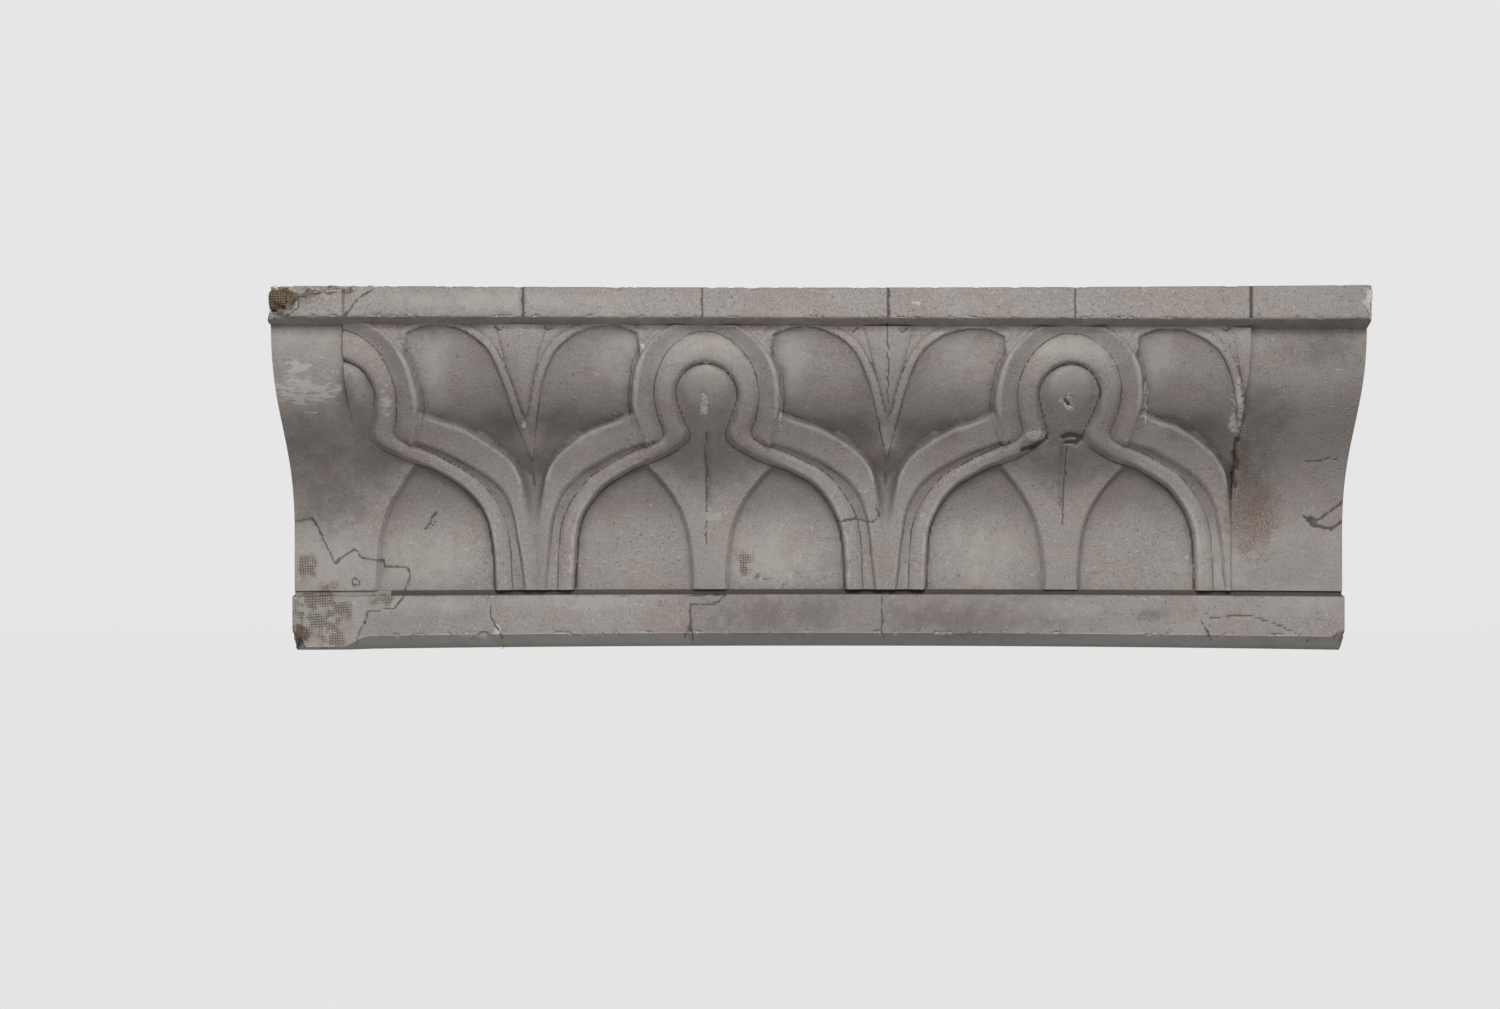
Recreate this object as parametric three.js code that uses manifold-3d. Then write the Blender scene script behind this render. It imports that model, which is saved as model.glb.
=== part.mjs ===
// A one-metre length of plaster cornice moulding: a square top fillet over a slanted soffit, a cyma
// reversa carved with stirrup leaves and darts, and a low bottom fillet under a recessed line.
// Millimetres, +Z up. X runs along the moulding, its face looks along -Y, its flat back is y = 0,
// and the origin is the middle of the back.

import * as THREE from "three";
import { mergeVertices } from "three/addons/utils/BufferGeometryUtils.js";
import Module from "manifold-3d";

const wasm = await Module();
wasm.setup();
const { Manifold, Mesh } = wasm;

// Overall length, and how much of it is left plain at each end
const length = 1000;
const leftPlain = 66;
const rightPlain = 107;

// The section, read down the face
const topFilletHeight = 30.4;
const soffitDrop = 7.9;
const soffitDepth = 29;
const fieldHeight = 244.5;
const recessHeight = 5;
const recessDepth = 1.5;
const bottomFilletHeight = 38;
const bottomFilletProud = 13.4;
const undersideDrop = 14.2;

// How far the cyma goes back below the soffit, and the plaster left behind its foot
const cymaDepth = 127;
const footThickness = 18;

// The cyma's bend, as shares of the field's height: its straight foot and its two handles
const cymaFoot = 0.233;
const cymaTopHandle = 0.322;
const cymaBottomHandle = 0.366;

// The repeat of the carving, and the axis of the whole leaf nearest the middle
const leafPitch = 334.5;
const middleLeafX = -103.5;

// Relief, measured forward from the plain curve
const ribbonRelief = 6;
const grooveRelief = 4.5;
const loopRelief = 12;
const wingRelief = 10;
const rimRelief = 8;
const dartRelief = 12;
const headRelief = 13;
const panelSink = 4.5;
const hollowSink = 9;
const hollowSpoon = 8;
const midribSink = 3;

// Widths of the small slopes: a panel's wall, the wing's outer wall and the midrib line
const panelWall = 4;
const wingWall = 3;
const midribWidth = 3.4;

// The broken top left corner, where burlap stands bare, and the worn bottom corners
const breakWidth = 25;
const breakDepth = 24;
const breakHeight = 25;
const burlapShort = 1.5;
const wornLeft = 16;
const wornRight = 19;
const wornHeight = 18;

// Clearance between two pieces, how far carving is sunk into the body, and small laps for the cuts
const gap = 0.3;
const rooted = 26;
const tuck = 2;
const lap = 0.5;
const tidyTolerance = 0.02;

// Smoothness
const cymaSteps = 12;
const stationSteps = 2;
const wingSteps = 3;

// Worked out from the sizes above
const depth = soffitDepth + cymaDepth + footThickness;
const height = topFilletHeight + soffitDrop + fieldHeight + recessHeight + bottomFilletHeight + undersideDrop;
const top = height / 2;
const bottom = -height / 2;
const soffitZ = top - topFilletHeight - soffitDrop;
const bottomFilletTop = bottom + undersideDrop + bottomFilletHeight;
const fieldBottom = bottomFilletTop + recessHeight;
const cymaTopY = -depth + soffitDepth;
const cymaFootY = -footThickness;
const left = -length / 2;
const right = length / 2;

// The leaf is drawn at this width and height, and follows the pitch and the field from there
const drawnPitch = 334.5;
const drawnField = 244.5;
const drawnHalf = drawnPitch / 2;

const cyma = new THREE.CubicBezierCurve(
  new THREE.Vector2(cymaTopY, soffitZ),
  new THREE.Vector2(cymaTopY, soffitZ - fieldHeight * cymaTopHandle),
  new THREE.Vector2(cymaFootY, fieldBottom + fieldHeight * (cymaFoot + cymaBottomHandle)),
  new THREE.Vector2(cymaFootY, fieldBottom + fieldHeight * cymaFoot),
);
const cymaPoints = cyma.getPoints(cymaSteps);

// The y of the plain curved face at a height z
function faceY(z) {
  if (z >= soffitZ) return cymaTopY;
  for (let i = 1; i < cymaPoints.length; i++) {
    const [above, below] = [cymaPoints[i - 1], cymaPoints[i]];
    if (z >= below.y) return THREE.MathUtils.mapLinear(z, below.y, above.y, below.x, above.x);
  }
  return cymaFootY;
}

// A drawn point, x from the leaf's axis and v up from the recessed line, at its place on the face
function place(x, v) {
  return new THREE.Vector2((x / drawnPitch) * leafPitch, fieldBottom + (v / drawnField) * fieldHeight);
}

// The same point on the face's surface, moved forward by a relief
function carved(x, v, relief) {
  const { x: along, y: z } = place(x, v);
  return new THREE.Vector3(along, faceY(z) - relief, z);
}

// A closed geometry as a solid
function solid(geometry) {
  const bare = geometry.index ? geometry.toNonIndexed() : geometry;
  bare.deleteAttribute("normal");
  bare.deleteAttribute("uv");
  const merged = mergeVertices(bare, 1e-4);
  return new Manifold(
    new Mesh({
      numProp: 3,
      vertProperties: new Float32Array(merged.attributes.position.array),
      triVerts: new Uint32Array(merged.index.array),
    }),
  );
}

function geometryOf(manifold) {
  const mesh = manifold.getMesh();
  const geometry = new THREE.BufferGeometry();
  geometry.setAttribute("position", new THREE.BufferAttribute(mesh.vertProperties, 3));
  geometry.setIndex(new THREE.BufferAttribute(mesh.triVerts, 1));
  geometry.computeVertexNormals();
  return geometry;
}

// A solid skinned over sections, each a ring of the same number of points, ends closed
function skinned(sections) {
  const sides = sections[0].length;
  const positions = sections.flatMap((section) => section.flatMap((p) => p.toArray()));
  const index = [];
  for (let i = 1; i < sections.length; i++) {
    for (let j = 0; j < sides; j++) {
      const a = (i - 1) * sides + j;
      const b = (i - 1) * sides + ((j + 1) % sides);
      index.push(a, a + sides, b, b, a + sides, b + sides);
    }
  }
  const last = (sections.length - 1) * sides;
  for (let j = 1; j < sides - 1; j++) {
    index.push(0, j, j + 1, last, last + j + 1, last + j);
  }
  const geometry = new THREE.BufferGeometry();
  geometry.setAttribute("position", new THREE.Float32BufferAttribute(positions, 3));
  geometry.setIndex(index);
  const made = solid(geometry);
  if (made.volume() > 0) return made;
  geometry.setIndex(index.toReversed());
  return solid(geometry);
}

// An outline in x and z pushed through the whole depth of the moulding
function prism(points) {
  const extruded = new THREE.ExtrudeGeometry(new THREE.Shape(points), { depth: depth * 2, bevelEnabled: false });
  extruded.rotateX(Math.PI / 2);
  extruded.translate(0, depth / 2, 0);
  return solid(extruded);
}

function box(x0, x1, y0, y1, z0, z1) {
  const geometry = new THREE.BoxGeometry(x1 - x0, y1 - y0, z1 - z0);
  geometry.translate((x0 + x1) / 2, (y0 + y1) / 2, (z0 + z1) / 2);
  return solid(geometry);
}

function union(solids) {
  return Manifold.union(solids);
}

function spline(points) {
  return new THREE.SplineCurve(points.map(([x, v]) => new THREE.Vector2(x, v)));
}

// The head's centre and the rings round it, drawn, from the inside out
const headCentre = 184;
const rings = { ribbonFoot: 28, ribbonArris: 31, groove: 48, loopEdge: 67, loopWall: 73 };
const ringAngles = [96, 72, 48, 24, 0];

// Half of a line of the stirrup: round the head at one radius, then down through its stations
function stirrupLine(radius, stations) {
  const ring = ringAngles.map((degrees) => {
    const angle = THREE.MathUtils.degToRad(degrees);
    return [radius * Math.cos(angle), headCentre + radius * Math.sin(angle)];
  });
  return spline([...ring, ...stations]);
}

// A drawn point whose x is measured back from the dart's axis
function fromDart(x, v) {
  return [drawnHalf - x, v];
}

// Lines of the inner ribbon at eight stations: waist, neck, elbow, shoulder, hip, haunch, knee, foot
const ribbonFoot = stirrupLine(rings.ribbonFoot, [
  [21.5, 163], [17, 149], [24, 138], [46, 125], [75, 114], [105, 93], fromDart(43.25, 59), fromDart(38.75, 0),
]);
const ribbonArris = stirrupLine(rings.ribbonArris, [
  [29, 164], [24, 149.5], [30, 140], [48, 128.5], [77, 117], [107.5, 95.5], fromDart(40.75, 60), fromDart(36.25, 0),
]);
const grooveLine = stirrupLine(rings.groove, [
  [45, 164], [41.5, 151], [48, 142], [66, 135.5], [89, 124], [117, 105], fromDart(28.25, 66), fromDart(23.75, 0),
]);
const elbowStation = ringAngles.length + 2;
const shoulderStation = elbowStation + 1;
const footStation = ringAngles.length + 7;

// The loop's lines stop at the elbow, where it dives behind the inner ribbon
const loopEdge = stirrupLine(rings.loopEdge, [[65.5, 166], [62, 152], [57.5, 139]]);
const loopWall = stirrupLine(rings.loopWall, [[71, 164], [66.5, 150], [61, 138]]);

// The wing's lines start there, under the loop, and go from elbow to foot
const wingArris = spline([
  [52, 146], [69, 140.5], [95, 130], fromDart(37.25, 107.5), fromDart(18.25, 76), fromDart(8.25, 0),
]);
const wingEdge = spline([
  [56, 172], [82, 161.5], [112, 149.5], fromDart(21.25, 124), fromDart(9.25, 90), fromDart(0.75, 0),
]);

// The stem's edge, up from its foot to the point of the panel
const stemHalf = 15;
const stemEdge = new THREE.CubicBezierCurve(
  new THREE.Vector2(stemHalf, 0),
  new THREE.Vector2(stemHalf, 62),
  new THREE.Vector2(23, 85),
  new THREE.Vector2(59, 121),
);

// The rim over a hollow, from the loop's shoulder to the dart's tip
const rimArc = spline([
  [62, 236], [85, 243], [112, 238], fromDart(32.25, 223), fromDart(16.25, 196), fromDart(0, 150),
]);

// The raised ground round a dart: its side, under the loop, and its foot, between two wings
const groundSide = 58;
const groundFoot = 38;

// One half of the inner ribbon, crown to foot
function innerRibbon() {
  const sections = [];
  const steps = footStation * stationSteps;
  for (let i = 0; i <= steps; i++) {
    const foot = ribbonFoot.getPoint(i / steps);
    const arris = ribbonArris.getPoint(i / steps);
    const groove = grooveLine.getPoint(i / steps);
    sections.push([
      carved(foot.x, foot.y, -rooted),
      carved(foot.x, foot.y, -panelSink),
      carved(arris.x, arris.y, ribbonRelief),
      carved(groove.x, groove.y, grooveRelief),
      carved(groove.x, groove.y, -rooted),
    ]);
  }
  return skinned(sections);
}

// Where the outer ribbon's near side is tucked in under the inner ribbon
function tucked(groove, edge) {
  const inward = groove.clone().sub(edge).setLength(tuck);
  return groove.clone().add(inward);
}

// One half of the loop round the head
function loop() {
  const lipShare = 0.06;
  const sections = [];
  const steps = elbowStation * stationSteps;
  for (let i = 0; i <= steps; i++) {
    const groove = grooveLine.getPoint(((i / steps) * elbowStation) / footStation);
    const edge = loopEdge.getPoint(i / steps);
    const wall = loopWall.getPoint(i / steps);
    const inner = tucked(groove, edge);
    const lip = groove.clone().lerp(edge, lipShare);
    sections.push([
      carved(inner.x, inner.y, -rooted),
      carved(inner.x, inner.y, grooveRelief - tuck),
      carved(lip.x, lip.y, loopRelief),
      carved(edge.x, edge.y, loopRelief),
      carved(wall.x, wall.y, -hollowSink),
      carved(wall.x, wall.y, -rooted),
    ]);
  }
  return skinned(sections);
}

// One half of the outer ribbon below the loop. Its edge dips to meet its neighbour near the foot.
function wing() {
  const dipFrom = 0.7;
  const sections = [];
  const stations = footStation - elbowStation;
  const steps = stations * wingSteps;
  for (let i = 0; i <= steps; i++) {
    const t = i / steps;
    const groove = grooveLine.getPoint((elbowStation + t * stations) / footStation);
    const arris = wingArris.getPoint(t);
    const edge = wingEdge.getPoint(t);
    const inner = tucked(groove, edge);
    const dip = THREE.MathUtils.smoothstep(t, dipFrom, 1);
    const edgeRelief = THREE.MathUtils.lerp(wingRelief, grooveRelief - 1, dip);
    const wallX = Math.min(edge.x + wingWall, drawnHalf + lap);
    sections.push([
      carved(inner.x, inner.y, -rooted),
      carved(inner.x, inner.y, grooveRelief - tuck),
      carved(arris.x, arris.y, wingRelief),
      carved(edge.x, edge.y, edgeRelief),
      carved(wallX, edge.y + wingWall, -hollowSink),
      carved(wallX, edge.y + wingWall, -rooted),
    ]);
  }
  return skinned(sections);
}

// The leaf's head and neck: an arched bud that sinks into the leaf below
function head() {
  const outline = spline([[4, 210], [18, 203], [26, 190], [25, 174], [19.5, 160], [15, 148], [17, 136], [24, 124]]);
  const steps = 12;
  const arch = 6;
  const sections = [];
  for (let i = 0; i <= steps; i++) {
    const t = i / steps;
    const { x: half, y: v } = outline.getPoint(t);
    const rise = Math.sin(Math.PI * Math.min(0.5, 0.16 + t));
    const crest = headRelief * rise * THREE.MathUtils.lerp(1, 0.1, t ** 1.5);
    const section = [];
    for (let j = 0; j <= arch; j++) {
      const angle = (Math.PI * j) / arch;
      section.push(carved(-half * Math.cos(angle), v, (crest + panelSink) * Math.sin(angle) - panelSink));
    }
    section.push(carved(half, v, -rooted), carved(-half, v, -rooted));
    sections.push(section);
  }
  return skinned(sections);
}

// The incised line down the leaf, from the neck to above the recessed line
function midrib() {
  const [foot, neck] = [79, 151];
  const half = midribWidth / 2;
  const steps = 6;
  const sections = [];
  for (let i = 0; i <= steps; i++) {
    const v = THREE.MathUtils.lerp(foot, neck, i / steps);
    sections.push([
      carved(0, v, -midribSink),
      carved(half, v, lap),
      carved(half, v, headRelief),
      carved(-half, v, headRelief),
      carved(-half, v, lap),
    ]);
  }
  return skinned(sections);
}

// The stem edge's x at a height v, by halving
function stemX(v) {
  let [low, high] = [0, 1];
  for (let i = 0; i < 20; i++) {
    const middle = (low + high) / 2;
    if (stemEdge.getPoint(middle).y < v) low = middle;
    else high = middle;
  }
  return stemEdge.getPoint(low).x;
}

// One sunk panel between the stem and the ribbon, sloped on the stem's side
function panel() {
  const steps = 14;
  const apexShare = (shoulderStation + 0.4) / footStation;
  const sections = [];
  for (let i = 0; i <= steps; i++) {
    const outer = ribbonFoot.getPoint(THREE.MathUtils.lerp(1, apexShare, i / steps));
    const inner = Math.min(stemX(outer.y), outer.x - 1);
    const wall = Math.min(panelWall, (outer.x - inner) / 2);
    const v = i === 0 ? -lap : outer.y;
    sections.push([
      carved(inner, v, lap),
      carved(inner + wall, v, -panelSink),
      carved(outer.x + tuck, v, -panelSink),
      carved(outer.x + tuck, v, lap),
    ]);
  }
  return skinned(sections);
}

// A line just inside the wing's edge, from the loop down to the dart's axis
function groundLine() {
  const wingShare = 0.86;
  const inset = 4;
  const steps = 10;
  const line = [];
  for (let i = 0; i <= steps; i++) {
    const { x, y: v } = wingEdge.getPoint((i / steps) * wingShare);
    line.push(place(x - inset / 2, v - inset));
  }
  return line;
}

// One spoon-shaped hollow between the loop, the rim and the wing
function hollow() {
  const rim = rimArc.getPoints(20).map((p) => place(p.x, p.y));
  const outline = prism([...rim, place(drawnHalf, groundFoot), ...groundLine().toReversed()]);
  const steps = 12;
  const across = 8;
  const sections = [];
  for (let i = 0; i <= steps; i++) {
    const v = THREE.MathUtils.lerp(groundFoot - lap, drawnField, i / steps);
    const section = [];
    for (let j = 0; j <= across; j++) {
      const x = THREE.MathUtils.lerp(groundSide - lap, drawnHalf + lap, j / across);
      const dish = Math.sin((Math.PI * j) / across) * Math.sin((Math.PI * i) / steps);
      section.push(carved(x, v, -hollowSink - hollowSpoon * dish));
    }
    section.push(carved(drawnHalf + lap, v, rooted), carved(groundSide - lap, v, rooted));
    sections.push(section);
  }
  return outline.intersect(skinned(sections));
}

// The raised ground beside a leaf that the hollow is cut from: it ends above the wing's edge
function raisedGround() {
  const steps = 10;
  const sections = [];
  for (let i = 0; i <= steps; i++) {
    const v = THREE.MathUtils.lerp(groundFoot, drawnField + 1, i / steps);
    sections.push([
      carved(groundSide, v, -rooted),
      carved(groundSide, v, rimRelief),
      carved(drawnHalf + lap, v, rimRelief),
      carved(drawnHalf + lap, v, -rooted),
    ]);
  }
  const above = drawnField * 1.1;
  const outline = [place(drawnHalf + lap, above), place(groundSide, above), ...groundLine()];
  return skinned(sections).intersect(prism([...outline, place(drawnHalf + lap, groundFoot)]));
}

// The dart: a ridged wedge between two rims, point down
function dart() {
  const topHalf = 23;
  const tip = 163;
  const facetShare = 0.75;
  const groove = 2.5;
  const steps = 8;
  const sections = [];
  for (let i = 0; i <= steps; i++) {
    const v = THREE.MathUtils.lerp(tip, drawnField + 1, i / steps);
    const half = THREE.MathUtils.lerp(1, topHalf, i / steps);
    sections.push([
      carved(-half, v, -rooted),
      carved(-half, v, rimRelief - groove),
      carved(-half * facetShare, v, rimRelief + 1),
      carved(0, v, dartRelief),
      carved(half * facetShare, v, rimRelief + 1),
      carved(half, v, rimRelief - groove),
      carved(half, v, -rooted),
    ]);
  }
  return skinned(sections);
}

// The whole section without its carving. The extrusion runs along its own z, so it is turned to x.
function plainBody() {
  const filletY = cymaFootY - bottomFilletProud;
  const section = new THREE.Shape([
    new THREE.Vector2(0, bottom),
    new THREE.Vector2(filletY, bottom + undersideDrop),
    new THREE.Vector2(filletY, bottomFilletTop),
    new THREE.Vector2(cymaFootY + recessDepth, bottomFilletTop),
    new THREE.Vector2(cymaFootY + recessDepth, fieldBottom),
    new THREE.Vector2(cymaFootY, fieldBottom),
    ...cymaPoints.toReversed(),
    new THREE.Vector2(-depth, top - topFilletHeight),
    new THREE.Vector2(-depth, top),
    new THREE.Vector2(0, top),
  ]);
  const bar = new THREE.ExtrudeGeometry(section, { depth: length, bevelEnabled: false });
  bar.applyMatrix4(new THREE.Matrix4().set(0, 0, 1, left, 1, 0, 0, 0, 0, 1, 0, 0, 0, 0, 0, 1));
  return solid(bar);
}

// The notch where the end of the top fillet has broken away
function brokenCorner() {
  const front = -depth - 1;
  return box(left - 1, left + breakWidth, front, -depth + breakDepth, top - breakHeight, top + 1);
}

// A bottom corner rubbed off at a slant: side is -1 at the left end and 1 at the right end
function wornCorner(side, width) {
  const end = (side * length) / 2;
  return prism([
    new THREE.Vector2(end + side, bottom - 1),
    new THREE.Vector2(end - side * width, bottom - 1),
    new THREE.Vector2(end - side * width, bottom),
    new THREE.Vector2(end - side * width * 0.3, bottom + wornHeight * 0.45),
    new THREE.Vector2(end, bottom + wornHeight),
    new THREE.Vector2(end + side, bottom + wornHeight),
  ]);
}

// Both halves of a piece of one leaf
function mirrored(half) {
  return union([half, half.mirror([1, 0, 0])]);
}

// A piece of the carving at each leaf, or half a pitch on at each dart, as far as the field goes
function repeated(piece, shift) {
  const copies = [];
  const first = Math.floor((left - middleLeafX) / leafPitch);
  const last = Math.ceil((right - middleLeafX) / leafPitch);
  for (let i = first; i <= last; i++) {
    const x = middleLeafX + (i + shift) * leafPitch;
    if (Math.abs(x) < length / 2 + leafPitch / 2) copies.push(piece.translate([x, 0, 0]));
  }
  return union(copies);
}

function moulding() {
  const rootEnd = -footThickness / 3;
  const carvedLeft = left + leftPlain;
  const carvedRight = right - rightPlain;
  const field = box(carvedLeft, carvedRight, -depth, rootEnd, fieldBottom, top - topFilletHeight);
  const stirrup = mirrored(union([innerRibbon(), loop(), wing()]));
  const raised = union([repeated(union([stirrup, head()]), 0), repeated(dart(), 0.5)]);
  return plainBody()
    .add(repeated(mirrored(raisedGround()), 0).intersect(field))
    .subtract(repeated(mirrored(union([hollow(), panel()])), 0).intersect(field))
    .add(raised.intersect(field))
    .subtract(repeated(midrib(), 0).intersect(field))
    .subtract(union([brokenCorner(), wornCorner(-1, wornLeft), wornCorner(1, wornRight)]))
    .simplify(tidyTolerance);
}

// The knot of coarse burlap that fills the notch: a short roll with blunt ends
function burlapBundle() {
  const radius = Math.min(breakDepth, breakHeight) / 2 - gap;
  const roll = breakWidth - gap - burlapShort;
  const bluntness = 0.35;
  const steps = 10;
  const profile = [];
  for (let i = 0; i <= steps; i++) {
    const angle = (Math.PI * i) / steps;
    const bulge = i % steps === 0 ? 0 : Math.sin(angle) ** bluntness;
    profile.push(new THREE.Vector2(radius * bulge, (-Math.cos(angle) * roll) / 2));
  }
  const turned = new THREE.LatheGeometry(profile, 14);
  turned.rotateZ(-Math.PI / 2);
  return turned;
}

const plaster = new THREE.MeshStandardMaterial({ color: 0x8c8780, roughness: 0.9, metalness: 0 });
const burlap = new THREE.MeshStandardMaterial({ color: 0x5a4632, roughness: 1, metalness: 0 });
const group = new THREE.Group();

const plasterMoulding = new THREE.Mesh(geometryOf(moulding()), plaster);
plasterMoulding.name = "plaster_moulding";
group.add(plasterMoulding);

const bundle = new THREE.Mesh(burlapBundle(), burlap);
bundle.name = "burlap_bundle";
bundle.position.set(
  left + (breakWidth - gap + burlapShort) / 2,
  -depth + breakDepth / 2,
  top - breakHeight / 2,
);
group.add(bundle);

export default group;
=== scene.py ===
import math
from functools import partial

import bmesh
import bpy
import numpy as np
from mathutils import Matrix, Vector, kdtree


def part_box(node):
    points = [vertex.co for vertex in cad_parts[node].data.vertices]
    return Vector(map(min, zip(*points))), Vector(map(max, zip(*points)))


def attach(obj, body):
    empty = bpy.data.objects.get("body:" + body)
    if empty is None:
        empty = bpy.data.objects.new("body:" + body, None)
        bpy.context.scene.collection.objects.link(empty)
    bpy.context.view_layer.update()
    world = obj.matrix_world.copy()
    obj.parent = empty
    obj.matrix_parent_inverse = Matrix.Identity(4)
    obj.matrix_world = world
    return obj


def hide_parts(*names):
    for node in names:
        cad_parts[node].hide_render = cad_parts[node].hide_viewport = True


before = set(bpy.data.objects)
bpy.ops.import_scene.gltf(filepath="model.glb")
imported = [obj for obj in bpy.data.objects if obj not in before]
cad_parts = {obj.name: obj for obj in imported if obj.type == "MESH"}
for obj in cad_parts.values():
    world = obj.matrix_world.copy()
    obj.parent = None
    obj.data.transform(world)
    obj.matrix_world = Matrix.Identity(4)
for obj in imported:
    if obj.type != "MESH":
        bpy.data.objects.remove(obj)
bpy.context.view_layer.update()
mm = 0.001
print("frame loaded")

# The moulding's own sizes in mm: x along it, z up, y from the flat back (0) to the front (-174)
moulding = {
    "length": 1000.0,
    "depth": 174.0,
    "height": 340.0,
    "topFillet": 30.4,
    "soffitDrop": 7.9,
    "soffitDepth": 29.0,
    "field": 244.5,
    "recess": 5.0,
    "recessDepth": 3.5,
    "bottomFillet": 38.0,
    "bottomFilletProud": 13.4,
    "footDepth": 18.0,
    "cymaFoot": 0.233,
    "cymaTopHandle": 0.322,
    "cymaBottomHandle": 0.366,
    "leafPitch": 334.5,
    "middleLeafX": -103.5,
    "leftPlain": 66.0,
    "rightPlain": 107.0,
    "topSag": 2.3,  # the top edge dips this much at mid length
    "bottomRise": 4.0,
    "skimDrop": 10.0,
    "skimEnd": -425.0,
    "leftLift": 5.5,
    "liftFrom": 350.0,
}

top = moulding["height"] / 2
filletEdge = top - moulding["topFillet"]
soffitZ = filletEdge - moulding["soffitDrop"]
fieldBottom = soffitZ - moulding["field"]
filletTop = fieldBottom - moulding["recess"]
filletBottom = filletTop - moulding["bottomFillet"]
front = -moulding["depth"]
cymaTop = front + moulding["soffitDepth"]
cymaFoot = -moulding["footDepth"]
filletY = cymaFoot - moulding["bottomFilletProud"]
leftEnd = -moulding["length"] / 2
rightEnd = -leftEnd
carvedLeft = leftEnd + moulding["leftPlain"]
carvedRight = rightEnd - moulding["rightPlain"]
halfPitch = moulding["leafPitch"] / 2


def smoothStep(low, high, value):
    share = np.clip((value - low) / (high - low), 0, 1)
    return share * share * (3 - 2 * share)


# Smooth noise from -1 to 1, one bump per unit
def noiseAt(x, y, seed):
    def corner(i, j):
        mixed = np.sin(i * 127.1 + j * 311.7 + seed * 74.7) * 43758.5453
        return (mixed - np.floor(mixed)) * 2 - 1

    i, j = np.floor(x), np.floor(y)
    u, v = x - i, y - j
    u, v = u * u * (3 - 2 * u), v * v * (3 - 2 * v)
    low = corner(i, j) * (1 - u) + corner(i + 1, j) * u
    high = corner(i, j + 1) * (1 - u) + corner(i + 1, j + 1) * u
    return low * (1 - v) + high * v


def roughAt(x, y, seed):
    coarse, finer = noiseAt(x, y, seed), noiseAt(x * 2.3, y * 2.3, seed + 1)
    return coarse * 0.6 + finer * 0.27 + noiseAt(x * 5.1, y * 5.1, seed + 2) * 0.13


# A smooth line through drawn points, at shares t of the way along
def lineAt(points, t):
    points = np.array(points, float)
    along = np.clip(t, 0, 1) * (len(points) - 1)
    i = np.minimum(along.astype(int), len(points) - 2)
    w = (along - i)[:, None]
    before, here = points[np.maximum(i - 1, 0)], points[i]
    after, beyond = points[i + 1], points[np.minimum(i + 2, len(points) - 1)]
    leave, arrive = (after - before) / 2, (beyond - here) / 2
    bend = (2 * here - 2 * after + leave + arrive) * w - 3 * here + 3 * after - 2 * leave - arrive
    return bend * w * w + leave * w + here


def bezierAt(a, b, c, d, t):
    a, b, c, d = (np.array(p, float) for p in (a, b, c, d))
    t = t[:, None]
    return a * (1 - t) ** 3 + b * 3 * t * (1 - t) ** 2 + c * 3 * t * t * (1 - t) + d * t**3


# Half a leaf, drawn in mm: x from its axis, v up from the recessed line. Heights are off the plain face.
leaf = {
    "headCentre": 184.0,
    "ringAngles": [120, 96, 72, 48, 24, 0],
    "ribbonFoot": (28.0, [
        (21.5, 163), (17, 149), (24, 138), (46, 125), (75, 114), (105, 93), (124, 59), (128.5, 0),
    ]),
    "ribbonArris": (31.0, [
        (29, 164), (24, 149.5), (30, 140), (48, 128.5), (77, 117), (107.5, 95.5), (126.5, 60), (131, 0),
    ]),
    "groove": (48.0, [
        (45, 164), (41.5, 151), (48, 142), (66, 135.5), (89, 124), (117, 105), (140.5, 66), (146, 0),
    ]),
    "loopEdge": (67.0, [(65.5, 166), (62, 152), (57.5, 139)]),
    "loopWall": (72.0, [(70, 164), (65.5, 150), (60, 138)]),
    "wingArris": [(52, 146), (69, 140.5), (95, 130), (130, 107.5), (149, 76), (159, 0)],
    "wingEdge": [(56, 172), (82, 161.5), (112, 149.5), (146, 124), (158, 90), (166.5, 0)],
    "rimArc": [(62, 236), (85, 243), (112, 238), (135, 223), (149, 196), (158, 160), (167.25, 122)],
    "grooveRise": 7.0,
    "groundRing": 60.0,
    "rimBand": 7.5,
    # How dark each groove, wall foot and crease is drawn: painted shade along the lines
    "lineShade": {"ribbonFoot": 0.9, "ribbonArris": 0, "groove": 0.85, "loopEdge": 0, "loopWall": 0.65},
    "fieldLineShade": {"wingArris": 0, "wingEdge": 0, "rimArc": 0.75},
    "footLineShade": 0.6,
    "creaseLineShade": 0.7,
    "stem": [(15, 0), (15, 62), (23, 85), (59, 121)],
    "head": [
        (0.5, 212), (13, 209), (23, 200), (27, 187), (25.5, 173),
        (19.5, 158), (16, 147), (18, 136), (26, 124),
    ],
    "midrib": (79.0, 151.0),
    "midribHalf": 1.7,
    "dartTip": 163.0,
    "dartHalf": 23.0,
    "groundFoot": 38.0,
    "valleyTop": 150.0,
    "valleyDeep": 128.0,
    "valleyFoot": 55.0,
    "footReach": 80.0,
    "scoopReach": 24.0,
    "loopReach": 30.0,
    "elbowShare": 7 / 12,  # how far down the ribbon the loop dives behind it
    "heights": {
        "ribbonArris": 8.0,
        "groove": 3.0,
        "loopLip": 5.5,
        "loopEdge": 12.5,
        "wing": 7.5,
        "wingFoot": 4.0,
        "rim": 8.0,
        "dart": 12.5,
        "head": 13.0,
        "panel": -7.5,
        "hollowLip": 2.5,
        "hollow": -14.0,
        "midrib": -3.5,
        "valley": 2.5,
    },
    "cell": 0.5,  # how finely the relief is worked out
    "softening": 0.5,  # rounding of every arris
}


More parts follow.
